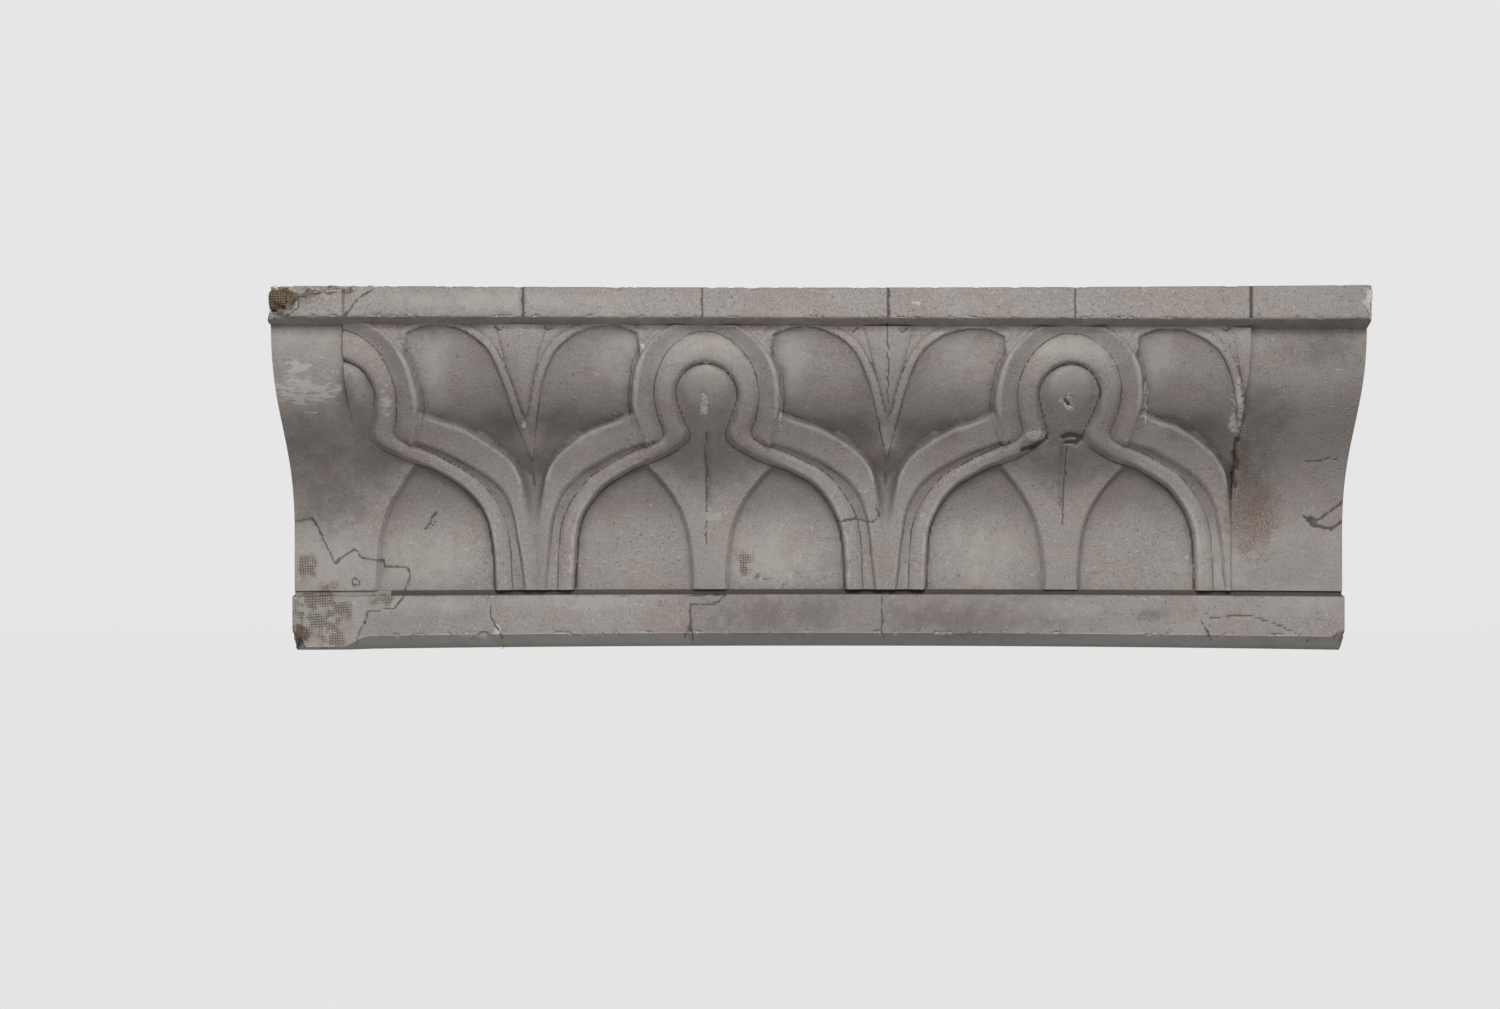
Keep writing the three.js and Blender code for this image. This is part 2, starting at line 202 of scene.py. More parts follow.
def stirrup(name, t):
    radius, stations = leaf[name]
    angles = [math.radians(a) for a in leaf["ringAngles"]]
    rise = leaf["grooveRise"] if name == "groove" else 0
    centre = leaf["headCentre"]
    ring = [(radius * math.cos(a), centre + (radius + rise * math.sin(a)) * math.sin(a)) for a in angles]
    last = len(ring + stations) - 1
    return lineAt(ring + stations, (1 + np.asarray(t) * (last - 1)) / last)  # the first point only steers


# Where the wing rises from the groove: half way across at the loop, near the wing's arris at the foot
def creaseShare(t):
    return (0.5 + 0.33 * t)[:, None]


def inside(outline, x, v):
    found = np.zeros(x.shape, bool)
    for (x0, v0), (x1, v1) in zip(outline, outline[1:] + outline[:1]):
        if v0 != v1:
            crosses = (v0 > v) != (v1 > v)
            found ^= crosses & (x < (x1 - x0) * (v - v0) / (v1 - v0) + x0)
    return found


def soften(grid, size):
    reach = int(math.ceil(size * 3))
    weights = np.exp(-0.5 * (np.arange(-reach, reach + 1) / size) ** 2)
    weights /= weights.sum()
    for axis in (0, 1):
        around = [(0, 0), (0, 0)]
        around[axis] = (reach, reach)
        padded = np.pad(grid, around, mode="reflect")
        length = grid.shape[axis]
        grid = sum(w * np.take(padded, range(k, k + length), axis=axis) for k, w in enumerate(weights))
    return grid


# The relief of half a leaf on a fine grid: each band is swept between two lines
def drawRelief():
    cell, heights = leaf["cell"], leaf["heights"]
    columns, rows = int(halfPitch / cell) + 2, int(moulding["field"] / cell) + 2
    x, v = np.meshgrid(np.arange(columns) * cell, np.arange(rows) * cell)
    t = np.linspace(0, 1, 1500)

    def sweep(*lines):
        layer = np.full(x.shape, -99.0)
        for (a, heightA), (b, heightB) in zip(lines, lines[1:]):
            near = np.column_stack([a, np.broadcast_to(heightA, len(a))])[:, None]
            far = np.column_stack([b, np.broadcast_to(heightB, len(b))])[:, None]
            width = np.abs(a - b).sum(axis=1).max()
            s = np.linspace(0, 1, int(width / cell * 1.6) + 6)[None, :, None]
            points = (near + (far - near) * s).reshape(-1, 3)
            i = np.rint(points[:, 1] / cell).astype(int)
            j = np.rint(points[:, 0] / cell).astype(int)
            held = (i >= 0) & (i < rows) & (j >= 0) & (j < columns)
            np.maximum.at(layer, (i[held], j[held]), points[held, 2])
        return layer

    wingLine = lineAt(leaf["wingEdge"], np.linspace(0, 0.86, 24)) - [2, 4]
    wingLine = [tuple(p) for p in wingLine]
    rimLine = [tuple(p) for p in lineAt(leaf["rimArc"], np.linspace(0, 1, 60))]
    above = moulding["field"] * 1.1

    underLoop = [(halfPitch + 1, above), (0, above)]
    for angle in np.radians([90, 70, 50, 30, 10]):
        radius = leaf["groundRing"]
        underLoop.append((radius * math.cos(angle), leaf["headCentre"] + radius * math.sin(angle)))
    ground = inside(underLoop + wingLine + [(halfPitch + 1, leaf["groundFoot"])], x, v)
    relief = np.where(ground, heights["rim"] * (0.2 + 0.8 * smoothStep(120, 175, v)), 0.0)

    # An incised line runs round inside each rim, and a fine groove down each side of the dart
    rimPoints = np.array(rimLine)[:, None, None, :]
    away = np.sqrt(((np.stack([x, v], axis=-1)[None] - rimPoints) ** 2).sum(axis=-1)).min(axis=0)
    relief -= np.where(ground, 2.2 * np.clip(1 - np.abs(away - leaf["rimBand"]) / 1.8, 0, 1), 0)

    # The hollow starts shallow under its rim and scoops down towards the wing
    hollow = inside(rimLine + [(halfPitch + 1, leaf["groundFoot"])] + wingLine[::-1], x, v)
    scoop = 1 - np.exp(-away / leaf["scoopReach"])
    loopSide = np.hypot(x, v - leaf["headCentre"]) - leaf["loopWall"][0]
    scoop *= 0.5 + 0.5 * smoothStep(0, leaf["loopReach"], np.where(v > 150, loopSide, leaf["loopReach"]))
    scoop = np.maximum(scoop, 1 - smoothStep(95, leaf["valleyTop"], v))
    lip, hollowFall = heights["hollowLip"], heights["hollow"] - heights["hollowLip"]
    relief = np.where(hollow, lip + hollowFall * scoop, relief)

    stem = bezierAt(*leaf["stem"], t)
    outer = stirrup("ribbonFoot", 1 - 0.3 * t)
    inner = np.minimum(np.interp(outer[:, 1], stem[:, 1], stem[:, 0]), outer[:, 0] - 1)
    wall = np.minimum(4.2, (outer[:, 0] - inner) / 2)
    panel = sweep(
        (np.column_stack([inner, outer[:, 1]]), 0.0),
        (np.column_stack([inner + wall, outer[:, 1]]), heights["panel"]),
        (outer + [2, 0], heights["panel"]),
    )
    relief = np.where(panel > -90, np.minimum(relief, panel), relief)

    arris, groove = stirrup("ribbonArris", t), stirrup("groove", t)
    raised = sweep(
        (stirrup("ribbonFoot", t) * 1.3 - arris * 0.3, heights["panel"]),
        (stirrup("ribbonFoot", t), heights["panel"] + 2),
        (arris, heights["ribbonArris"] - 1),
        (arris + (groove - arris) * 0.25, heights["ribbonArris"]),
        (arris + (groove - arris) * 0.7, heights["ribbonArris"] - 1.5),
        (groove, heights["groove"] - 1),
    )
    groove, edge = stirrup("groove", t * leaf["elbowShare"]), stirrup("loopEdge", t)
    loopHeight = heights["loopEdge"]
    loop = sweep(
        (groove + (groove - edge) * 0.08, heights["groove"] - 2),
        (groove + (edge - groove) * 0.04, heights["groove"]),
        (groove + (edge - groove) * 0.35, heights["loopLip"]),
        (groove + (edge - groove) * 0.88, loopHeight),
        (edge, loopHeight - 1.5),
        (stirrup("loopWall", t), heights["hollow"]),
    )
    groove = stirrup("groove", leaf["elbowShare"] + t * (1 - leaf["elbowShare"]))
    arris, edge = lineAt(leaf["wingArris"], t), lineAt(leaf["wingEdge"], t)
    edgeHeight = heights["wing"] + (heights["wingFoot"] - heights["wing"]) * smoothStep(0.7, 1, t)
    wallFoot = np.column_stack([np.minimum(edge[:, 0] + 3, halfPitch + 0.5), edge[:, 1] + 3])
    wing = sweep(
        (groove + (groove - edge) * 0.08, heights["groove"] - 2),
        (groove + (arris - groove) * (creaseShare(t) - 0.04), heights["groove"] + 0.2),
        (groove + (arris - groove) * (creaseShare(t) + 0.08), heights["groove"] + 2.6),
        (arris, heights["wing"] + 2),
        (edge, edgeHeight),
        (wallFoot, heights["hollow"]),
    )
    # The hollow runs out below in a valley between two wings, steep above and fading to their feet
    low = edge[:, 1] < leaf["valleyTop"]
    side, drop = edge[low], edgeHeight[low]
    deepening = smoothStep(leaf["valleyFoot"], leaf["valleyDeep"], side[:, 1])
    valley = heights["valley"] + (heights["hollow"] - heights["valley"]) * deepening
    steep = 1.3 + 6 * smoothStep(leaf["valleyFoot"], leaf["valleyTop"], side[:, 1])
    across = np.array([halfPitch + 0.5, 0]) - side * [1, 0]
    shares = (0, 0.06, 0.14, 0.28, 0.5, 0.75, 1)
    slope = sweep(*((side + across * s, valley + (drop - valley) * (1 - s) ** steep) for s in shares))
    outline = lineAt(leaf["head"], t)
    rise = np.sin(math.pi * np.minimum(0.5, 0.16 + t)) * (1 - 0.95 * smoothStep(0.15, 0.64, t))
    crest = heights["head"] * rise - heights["panel"]
    arches = []
    for angle in np.linspace(0, math.pi / 2, 9):
        across = np.column_stack([outline[:, 0] * math.sin(angle), outline[:, 1]])
        arches.append((across, crest * math.cos(angle) + heights["panel"]))
    head = sweep(*arches)

    span = (v - leaf["dartTip"]) / (moulding["field"] - leaf["dartTip"])
    dartHalf = np.maximum(leaf["dartHalf"] * span, 0.5)
    across = (halfPitch - x) / dartHalf
    dart = np.where((span > 0) & (across < 1), heights["dart"] - 3.5 * np.clip(across, 0, 1), -99)
    relief -= np.where(span > 0, 2.5 * np.clip(1 - np.abs(across - 1) * dartHalf / 1.8, 0, 1), 0)
    # The ribbons flatten out towards their feet
    flatter = 0.7 + 0.3 * smoothStep(0, leaf["footReach"], v)
    for layer in (raised, loop, wing, slope, head, dart):
        relief = np.maximum(relief, np.where(layer > 0, layer * flatter, layer))
    low, high = leaf["midrib"]
    rib = heights["midrib"] + 3.5 * x / leaf["midribHalf"]
    ribbed = (x < leaf["midribHalf"]) & (v > low) & (v < high)
    relief = np.where(ribbed, np.minimum(relief, rib), relief)
    return soften(relief, leaf["softening"] / cell)


relief = drawRelief()
broad = soften(relief, 5 / leaf["cell"])
fine = soften(relief, 1.6 / leaf["cell"])
wide = soften(relief, 22 / leaf["cell"])
print("leaf relief drawn")


def readMap(grid, x, v):
    x = np.clip(x / leaf["cell"], 0, grid.shape[1] - 1.001)
    v = np.clip(v / leaf["cell"], 0, grid.shape[0] - 1.001)
    i, j = v.astype(int), x.astype(int)
    a, b = v - i, x - j
    low = grid[i, j] * (1 - b) + grid[i, j + 1] * b
    high = grid[i + 1, j] * (1 - b) + grid[i + 1, j + 1] * b
    return low * (1 - a) + high * a


# Where the leaf's arrises and wall feet run, so that the mesh can follow them, and how dark the painted shade
# along each line is
def featureTree():
    t = np.linspace(0, 1, 1200)
    lines = [(stirrup(name, t), lineShade) for name, lineShade in leaf["lineShade"].items()]
    lines += [(lineAt(leaf[name], t), lineShade) for name, lineShade in leaf["fieldLineShade"].items()]
    lines.append((bezierAt(*leaf["stem"], t), leaf["footLineShade"]))
    lines.append((lineAt(leaf["wingEdge"], t * 0.7) + [3, 3], leaf["footLineShade"]))
    groove = stirrup("groove", leaf["elbowShare"] + t * (1 - leaf["elbowShare"]))
    crease = groove + (lineAt(leaf["wingArris"], t) - groove) * creaseShare(t)
    lines.append((crease, leaf["creaseLineShade"]))
    dartTip = np.array([halfPitch - 0.4, leaf["dartTip"]])
    dartSide = [halfPitch - leaf["dartHalf"], moulding["field"]]
    lines.append((dartTip + np.outer(t, dartSide - dartTip), leaf["footLineShade"]))
    rim = lineAt(leaf["rimArc"], t)
    along = np.gradient(rim, axis=0)
    across = np.column_stack([-along[:, 1], along[:, 0]]) / np.linalg.norm(along, axis=1)[:, None]
    lines.append((rim + across * leaf["rimBand"], leaf["footLineShade"] * (rim[:, 1] > 165)))
    points = np.concatenate([line for line, _ in lines])
    lineShade = np.concatenate([np.broadcast_to(amount, len(t)) for _, amount in lines])
    used = (points[:, 0] >= 0) & (points[:, 0] <= halfPitch) & (points[:, 1] < moulding["field"])
    points, lineShade = points[used], lineShade[used]
    tree = kdtree.KDTree(len(points))
    for i, (x, v) in enumerate(points):
        tree.insert((x, v, 0), i)
    tree.balance()
    return tree, lineShade


# How the photograph sees a point: used to place stains, chips and cracks where they show
camera = {
    "at": (-8.0, -2881.7, 4.6),
    "lens": 72.0,
    "shift": (-0.04, -0.0243),
    "centrePx": (810.0, 468.0),
    "mmPerPx": 0.9025,  # at the top fillet's face
}


def seenPx(points):
    near = front - camera["at"][1]
    scale = near / (points[:, 1] - camera["at"][1]) / camera["mmPerPx"]
    px = camera["centrePx"][0] + (points[:, 0] - camera["at"][0]) * scale
    py = camera["centrePx"][1] - (points[:, 2] - camera["at"][2]) * scale
    return px, py


# The plaster cast: rows follow the profile from the top back edge to the bottom back edge
castMesh = {
    "rows": {"top": 7, "topFillet": 14, "soffit": 5, "field": 132, "bottomFillet": 18},
    "columns": {"left": 38, "carved": 446, "right": 35},
    "topShares": [0.3, 0.6, 0.8, 0.88, 0.94, 0.99, 1],
    "soffitShares": [0.05, 0.25, 0.5, 0.75, 1],
    "ledgeShares": [0.5, 0.92, 1],
    "undersideShares": [0.04, 0.3, 0.65, 1],
    "endShares": [1.0, 0.6, 0.34, 0.18, 0.09, 0.035],
    "backInset": 5.0,
    "snap": 0.92,
    "warp": 1.1,
    "waviness": 0.5,
    "arris": 0.5,
}


def profileRows():
    drop = moulding["field"]
    cyma = bezierAt(
        (cymaTop, soffitZ),
        (cymaTop, soffitZ - drop * moulding["cymaTopHandle"]),
        (cymaFoot, fieldBottom + drop * (moulding["cymaFoot"] + moulding["cymaBottomHandle"])),
        (cymaFoot, fieldBottom + drop * moulding["cymaFoot"]),
        np.linspace(0, 1, 200),
    )[::-1]
    counts = castMesh["rows"]
    recessY = cymaFoot + moulding["recessDepth"]
    rows = [(0.0, top)]

    def run(y, z, shares):
        y0, z0 = rows[-1]
        rows.extend((y0 + (y - y0) * s, z0 + (z - z0) * s) for s in shares)

    run(front, top, castMesh["topShares"])
    run(front, filletEdge, [0.04, *np.linspace(0.1, 0.96, counts["topFillet"] - 2), 1])
    run(cymaTop, soffitZ, castMesh["soffitShares"])
    for z in np.linspace(soffitZ, fieldBottom, counts["field"] + 1)[1:]:
        rows.append((float(np.interp(z, cyma[:, 1], cyma[:, 0])), float(z)))
    run(recessY, fieldBottom - 0.6, [1])
    run(recessY, filletTop, [0.5, 1])
    run(filletY, filletTop, castMesh["ledgeShares"])
    run(filletY, filletBottom, [0.03, *np.linspace(0.08, 0.97, counts["bottomFillet"] - 2), 1])
    run(0.0, -top, castMesh["undersideShares"])
    rows = np.array(rows)
    # Each row's partner on the back, so that the two end faces close without folding over
    partners = [(-top, -top), (fieldBottom, fieldBottom + 3), (soffitZ, soffitZ - 5)]
    order = np.array(partners + [(filletEdge, soffitZ + 3), (top, top)])
    back = np.interp(rows[:, 1], order[:, 0], order[:, 1])
    lead = rows[:, 1] > top - 0.01
    backTop = top - castMesh["backInset"]
    back[lead] = np.linspace(top, backTop, lead.sum())
    below = ~lead & (rows[:, 1] > filletEdge - 0.1)
    back[below] = np.minimum(back[below], backTop - np.linspace(0.4, 3, below.sum()))
    return rows, back


def columnPlaces():
    counts, shares = castMesh["columns"], castMesh["endShares"]
    leftX = leftEnd + moulding["leftPlain"] * np.linspace(0, 1, counts["left"]) ** 1.25
    leftX[-1] -= 0.7
    carvedX = np.linspace(carvedLeft, carvedRight, counts["carved"])
    rightX = rightEnd - (rightEnd - carvedRight) * np.linspace(1, 0, counts["right"]) ** 1.2
    rightX[0] += 0.7
    x = np.concatenate([[leftEnd] * len(shares), leftX, carvedX, rightX, [rightEnd] * len(shares)])
    inset = np.zeros(len(x))
    inset[: len(shares)] = shares
    inset[-len(shares):] = shares[::-1]
    return x, inset


# Breaks and chips: the mesh inside a rough ball is pushed along one direction to the ball's far side.
# Each is the ball's centre and radius, the direction, and what shows in the break.
breaks = [
    ((-503, -177, 172), 30, (1, 1, -1), "bare"),
    ((-504, -177, 142), 15, (1, 1, 0), "bare"),
    ((-488, -178, 138), 9, (0, 1, 0.7), "pale"),
    ((-470, -176, 173), 13, (0, 1, -1), "bare"),
    ((-452, -177, 173), 10, (0, 1, -1), "bare"),
    ((-430, -177, 174), 9, (0, 1, -1), "bare"),
    ((-413, -176, 174), 8, (0, 1, -1), "bare"),
    ((503, -177, 172), 9, (-1, 1, -1), "bare"),
    ((503, -176, 150), 7, (-1, 1, 0), "bare"),
    ((502, -176, 139), 6, (-1, 1, 0.5), "bare"),
    ((-505, -36, -178), 27, (0.7, 0.2, 1), "brown"),
    ((507, -36, -173), 23, (-1, 0.3, 1), "grimeAndShade"),
    ((-318, -34, -160), 10, (0, 1, 0.6), "pale"),
    ((-303, -35, -161), 8, (0, 1, 0.8), "brown"),
    ((378, -96, 20), 12, (-0.4, 1, 0), "brown"),
    ((381, -90, 4), 11, (-0.4, 1, 0), "brown"),
    ((385, -80, -12), 9, (-0.3, 1, 0), "brown"),
    ((373, -112, 40), 9, (-0.2, 1, 0), "bare"),
    ((231, -120, 32), 10, (0, 1, 0), "grimeAndShade"),
    ((228, -142, 66), 9, (0, 1, -0.3), "bare"),
    ((232, -140, 58), 7, (0, 1, 0), "bare"),
    ((-104, -143, 66), 9, (0, 1, -0.3), "bare"),
    ((-103, -141, 56), 6, (0, 1, 0), "bare"),
    ((200, -132, 37), 12, (0.2, 1, 0), "bare"),
    ((192, -128, 30), 9, (0, 1, 0), "grimeAndShade"),
    ((174, -124, 32), 8, (0, 1, 0), "bare"),
]

# Surface marks, placed by the pixel of the photograph where each shows: its centre and half its width
# and height in px
marks = {
    "bare": [
        (330, 290, 26, 3), (704, 402, 6, 13), (1067, 399, 8, 11), (1370, 302, 4, 18), (643, 346, 3.5, 3.5),
        (524, 424, 4, 5), (1036, 434, 11, 8), (1238, 392, 4, 14), (1234, 424, 6, 12), (498, 630, 5, 10),
        (628, 446, 4, 2), (781, 412, 2.5, 20), (1145, 400, 3, 24),
    ],
    "pale": [
        (300, 345, 40, 28), (305, 392, 44, 26), (1050, 608, 42, 7), (590, 440, 28, 14), (335, 570, 40, 34),
        (575, 600, 60, 9), (420, 604, 50, 8), (1300, 600, 44, 14), (430, 560, 40, 26), (1210, 560, 36, 30),
        (770, 555, 40, 30), (980, 560, 36, 30), (500, 300, 110, 9), (438, 362, 12, 40), (616, 352, 18, 36),
        # From (704, 380) on, the pale marks lighten the tops of the heads and of the bands round them:
        # painted light
        (796, 356, 14, 40), (960, 352, 24, 34), (1160, 356, 14, 38), (346, 368, 16, 16), (704, 380, 26, 16),
        (1066, 380, 26, 16), (704, 350, 46, 14), (1066, 350, 46, 14),
    ],
    # Dark marks for grime; those at (706, 462) and (1064, 466) darken the stems between the ribbons, and
    # those from (500, 424) to (1200, 428) darken the lower hollows: painted shade
    "grimeAndShade": [
        (1264, 412, 28, 26), (1252, 470, 24, 50), (310, 450, 50, 36), (325, 495, 46, 34), (780, 616, 90, 24),
        (960, 620, 100, 22), (1152, 615, 16, 6), (344, 400, 10, 30), (1311, 519, 4, 4), (706, 462, 46, 26),
        (1064, 466, 44, 24), (372, 470, 26, 26), (500, 424, 30, 14), (562, 420, 30, 14), (850, 428, 30, 14),
        (925, 430, 30, 14), (1200, 428, 26, 14), (1320, 345, 44, 20), (523, 300, 3.5, 13),
    ],
    "brown": [(300, 634, 9, 12), (282, 300, 14, 16), (347, 290, 6, 4), (505, 649, 8, 3)],
    "weave": [
        (296, 292, 16, 10), (325, 289, 22, 4), (347, 290, 9, 5), (318, 612, 28, 22), (344, 612, 8, 9),
        (330, 638, 14, 12), (300, 632, 12, 14), (328, 585, 11, 5), (384, 600, 12, 6), (308, 565, 10, 12),
        (744, 562, 9, 12), (764, 577, 10, 4),
    ],
    "scuff": [
        (303, 388, 40, 24), (300, 372, 26, 12), (922, 302, 12, 3), (1368, 300, 7, 18), (1238, 404, 8, 36),
        (385, 398, 7, 20),
    ],
    "stain": [(1252, 518, 26, 44), (1240, 475, 12, 44), (300, 294, 18, 10), (1030, 444, 12, 8)],
}
markSeed = 100  # each kind of mark starts its noise this much further on

# The skim coat that has flaked off the lower left, and the flake on the bottom fillet, outlines in px
skimEdge = [
    (270, 523), (290, 523), (313, 519), (322, 536), (335, 563), (345, 556), (355, 548), (360, 558),
    (384, 560), (385, 567), (410, 568), (408, 583), (403, 598), (395, 608), (368, 612), (357, 640),
    (352, 660), (270, 660),
]
flakeEdge = [
    (688, 596), (726, 594), (718, 602), (700, 606), (690, 604),
    (690, 624), (684, 640), (640, 645), (640, 596),
]

# Hairline cracks and joint marks, in px
cracks = [
    [(425, 530), (430, 521), (437, 512)],
    [(432, 525), (436, 520)],
    [(838, 521), (856, 518), (866, 522), (874, 522), (879, 514), (876, 508)],
    [(1305, 461), (1320, 460), (1330, 457), (1338, 461)],
    [(1201, 619), (1206, 630), (1212, 640)],
    [(1210, 619), (1240, 614), (1270, 621), (1290, 630), (1307, 640)],
    [(690, 606), (692, 640)],
    [(490, 606), (491, 618), (505, 640)],
    [(882, 596), (882, 640)],
    [(705, 432), (706, 470), (707, 511)],
    [(706, 521), (706, 544)],
    [(1068, 446), (1064, 480), (1062, 524)],
    [(888, 322), (888, 405)],
    [(280, 300), (291, 304), (298, 298), (310, 294), (336, 292)],
    [(287, 316), (297, 309), (300, 300)],
    [(345, 316), (356, 300), (374, 288)],
    [(495, 327), (500, 330), (504, 327)],
    [(545, 327), (549, 330), (552, 327)],
    [(849, 328), (854, 332), (858, 328)],
    [(899, 328), (903, 332), (907, 328)],
    [(1221, 328), (1226, 332), (1230, 328)],
]
openCracks = [
    [(1304, 517), (1310, 524), (1330, 529), (1343, 520)],
    [(1304, 517), (1318, 521), (1330, 512), (1343, 501)],
]
# Deeper breaks that stay dark, light scratches, and smooth repairs
crevices = [
    [(1237, 440), (1233, 452), (1237, 462), (1233, 474), (1236, 486)],
    [(1062, 436), (1072, 434), (1081, 437), (1075, 443), (1067, 441)],
    [(1022, 450), (1030, 447), (1040, 443), (1048, 436)],
    [(1066, 400), (1069, 404)],
]
scratches = [
    [(1266, 558), (1266, 590)],
    [(1306, 462), (1310, 458)],
    [(747, 571), (748, 583)],
    [(1147, 574), (1147, 584)],
    [(1213, 470), (1218, 484), (1220, 496)],
    [(351, 313), (372, 291)],
    [(358, 315), (380, 290)],
    [(345, 306), (358, 290)],
    [(1308, 626), (1316, 617)],
]
patches = [
    [(879, 426), (898, 426), (900, 434), (891, 453), (884, 444)],
    [(708, 511), (721, 512), (721, 520), (707, 520)],
    [(1230, 412), (1246, 408), (1244, 430), (1234, 442)],
]
joints = [(523, 1.1), (702, 0.9), (888, 1.1), (1075, 1.0), (1251, 1.1), (343, 0.7)]  # px, strength
holes = {"nail": (355, 582), "nailRadius": 3.6, "pit": (1311, 519), "pitRadius": 4.6}


def blotch(px, py, mark, seed, soft):
    cx, cy, rx, ry = mark
    away = np.hypot((px - cx) / rx, (py - cy) / ry)
    away = away + 0.5 * roughAt(px / 7, py / 7, seed)  # a ragged edge
    return 1 - smoothStep(0.95 - soft, 0.95 + soft, away)


def nearLine(px, py, line):
    least = np.full(px.shape, 1e9)
    for (x0, y0), (x1, y1) in zip(line, line[1:]):
        along = ((px - x0) * (x1 - x0) + (py - y0) * (y1 - y0)) / ((x1 - x0) ** 2 + (y1 - y0) ** 2)
        along = np.clip(along, 0, 1)
        least = np.minimum(least, np.hypot(px - x0 - along * (x1 - x0), py - y0 - along * (y1 - y0)))
    return least


def bite(points, centre, radius, into, seed):
    into = np.array(into) / np.linalg.norm(into)
    apart = points - np.array(centre)
    near = np.einsum("ij,ij->i", apart, apart) < (radius * 1.6) ** 2
    apart = apart[near]
    x, y, z = points[near].T
    rough = roughAt(x / 9 + y / 11, z / 9 - y / 13, seed)
    radius = radius * (1 + 0.28 * rough)
    b = apart @ into
    inner = b * b - (np.einsum("ij,ij->i", apart, apart) - radius * radius)
    push = np.maximum(np.where(inner > 0, -b + np.sqrt(np.maximum(inner, 0)), 0), 0)
    points[near] += push[:, None] * into
    bitten = np.zeros(len(points))
    bitten[near] = smoothStep(0.2, 1.2, push)
    return bitten


def makeCast():
    rows, back = profileRows()
    xs, insets = columnPlaces()
    bm = bmesh.new()
    bmesh.ops.create_grid(bm, x_segments=len(xs) - 1, y_segments=len(rows) - 1, size=1)
    mesh = bpy.data.meshes.new("plasterCast")
    bm.to_mesh(mesh)
    bm.free()
    count = len(mesh.vertices)
    flat = np.empty(count * 3)
    mesh.vertices.foreach_get("co", flat)
    flat = flat.reshape(-1, 3)
    column = np.rint((flat[:, 0] + 1) / 2 * (len(xs) - 1)).astype(int)
    row = np.rint((1 - flat[:, 1]) / 2 * (len(rows) - 1)).astype(int)
    x, inset = xs[column].copy(), insets[column]
    y, z = rows[row, 0].copy(), rows[row, 1].copy()
    counts = castMesh["rows"]
    firstField = counts["top"] + counts["topFillet"] + counts["soffit"]
    lastField = firstField + counts["field"]
    ledgeEdge = lastField + 3 + len(castMesh["ledgeShares"])
    underEdge = len(rows) - 1 - len(castMesh["undersideShares"])
    inField = (row >= firstField) & (row <= lastField)
    carved = inField & (x >= carvedLeft) & (x <= carvedRight)

    # Fold every leaf onto the drawn one, a little out of true, and slide onto its arrises
    warpX = castMesh["warp"] * noiseAt(x / 47, z / 47, 3) + 0.35 * noiseAt(x / 9, z / 9, 4)
    warpZ = castMesh["warp"] * noiseAt(x / 47, z / 47, 5) + 0.35 * noiseAt(x / 9, z / 9, 6)
    v = z - fieldBottom
    period = moulding["leafPitch"]
    offset = (x + warpX - moulding["middleLeafX"] + period / 2) % period - period / 2
    drawnX, drawnV = np.abs(offset), np.clip(v + warpZ * smoothStep(0, 12, v), 0, moulding["field"])
    tree, lineShade = featureTree()
    snapped = np.zeros(count, bool)
    # Painted shade taken from the lines that the vertices snap to
    seamShade = np.zeros(count)
    nudgeable = carved & (x > carvedLeft + 1) & (x < carvedRight - 1) & (row > firstField) & (row < lastField)
    for i in np.flatnonzero(nudgeable):
        found, index, away = tree.find((drawnX[i], drawnV[i], 0))
        if away < castMesh["snap"]:
            x[i] += (found.x - drawnX[i]) * (1 if offset[i] >= 0 else -1)
            z[i] += found.y - drawnV[i]
            drawnX[i], drawnV[i] = found.x, found.y
            snapped[i] = True
            seamShade[i] = lineShade[index]
    fieldY = np.interp(-z, -rows[firstField:lastField + 1, 1], rows[firstField:lastField + 1, 0])
    y = np.where(snapped, fieldY, y)
    height = np.where(carved, readMap(relief, drawnX, drawnV), 0.0)
    crest = np.where(carved, readMap(fine - broad, drawnX, drawnV), 0.0)
    sunk = np.where(carved, readMap(wide - fine, drawnX, drawnV), 0.0)
    y = y - height

    # Hand-run waviness, softened arrises, and edges that sag or rise along the length
    wave = castMesh["waviness"] * (noiseAt(x / 70, z / 40, 11) + 0.5 * noiseAt(x / 17, z / 15, 12))
    frontRows = (row >= counts["top"]) & (row < len(rows) - 1)
    y = np.where(frontRows, y + np.abs(wave) * 0.8, y)
    for corner in (counts["top"], counts["top"] + counts["topFillet"]):
        y = np.where(row == corner, y + castMesh["arris"], y)
        z = np.where(row == corner, z + castMesh["arris"] * (-1 if corner == counts["top"] else 1), z)
    share = 1 - (x / rightEnd) ** 2
    z = z - moulding["topSag"] * share * smoothStep(top - moulding["topFillet"], top, z)
    z = z + moulding["bottomRise"] * share * smoothStep(60, top, -z)
    # The skim coat carries the bottom fillet's face down over the underside at the left end
    spread = np.minimum((filletTop - z) / moulding["bottomFillet"], (z + top) / (filletBottom + top))
    skimEnd = moulding["skimEnd"]
    z = z - moulding["skimDrop"] * np.clip(spread, 0, 1) * smoothStep(skimEnd, skimEnd - 30, x)
    # At the left end the soffit is shallower and the field runs higher
    leftward = np.clip((moulding["liftFrom"] - x) / (moulding["liftFrom"] - leftEnd), 0, 1)
    nearTop = smoothStep(soffitZ - 70, soffitZ, z) * np.where(row > firstField - 1, 1, 0.4)
    z = z + moulding["leftLift"] * leftward * np.where(z < top - 12, nearTop, 0)

    y = y * (1 - inset)
    z = z * (1 - inset) + back[row] * inset
    points = np.column_stack([x, y, z])

    layers = {name: np.zeros(count) for name in (*marks, "crackAndShadeLine")}

    def lay(name, amount):
        layers[name] = np.maximum(layers[name], amount)

    for k, (centre, radius, into, show) in enumerate(breaks):
        lay(show, bite(points, centre, radius, into, 40 + k))

